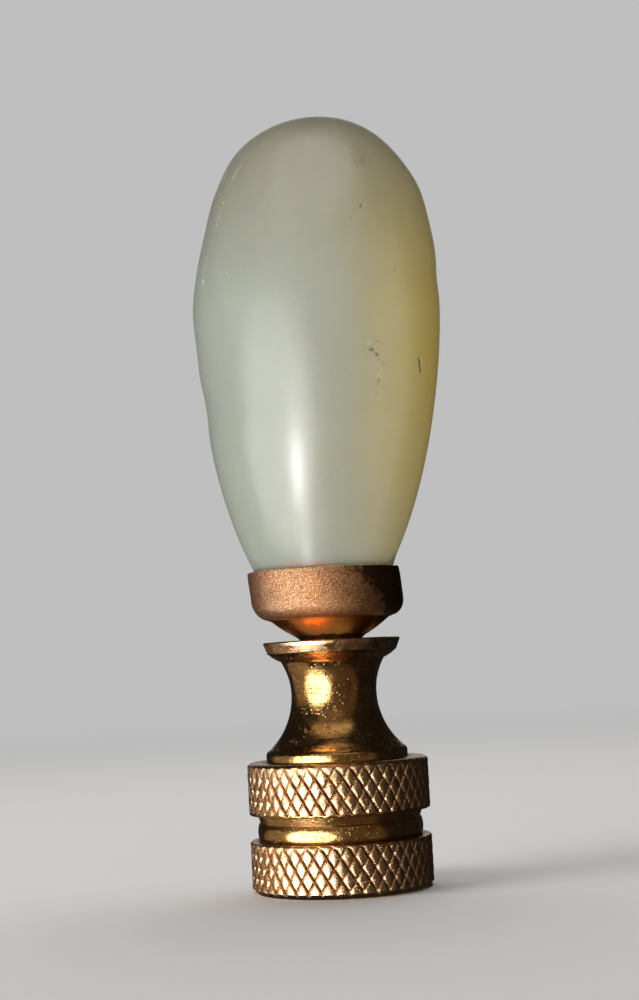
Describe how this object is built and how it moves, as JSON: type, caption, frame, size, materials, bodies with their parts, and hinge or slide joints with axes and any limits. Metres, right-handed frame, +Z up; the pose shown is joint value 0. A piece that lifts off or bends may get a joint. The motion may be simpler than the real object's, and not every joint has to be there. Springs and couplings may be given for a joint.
{
  "type": "lamp shade finial",
  "caption": "Lamp shade finial with a polished pale jade knob in a metal cup, on a turned brass base with knurled bands and a tapped socket underneath.",
  "frame": {"origin": "centre of the flat underside, on the axis of the tapped socket", "axes": "+Z up along the socket's axis to the knob's tip, -Y towards the pictured side, +X to the right in the picture"},
  "size_m": [0.0221, 0.022, 0.0684],
  "materials": {
    "jade": "polished",
    "cup_metal": "satin",
    "turned_brass": "satin"
  },
  "bodies": {
    "root": {"jade_knob": "jade", "stone_cup": "cup_metal", "finial_base": "turned_brass"}
  },
  "joints": []
}
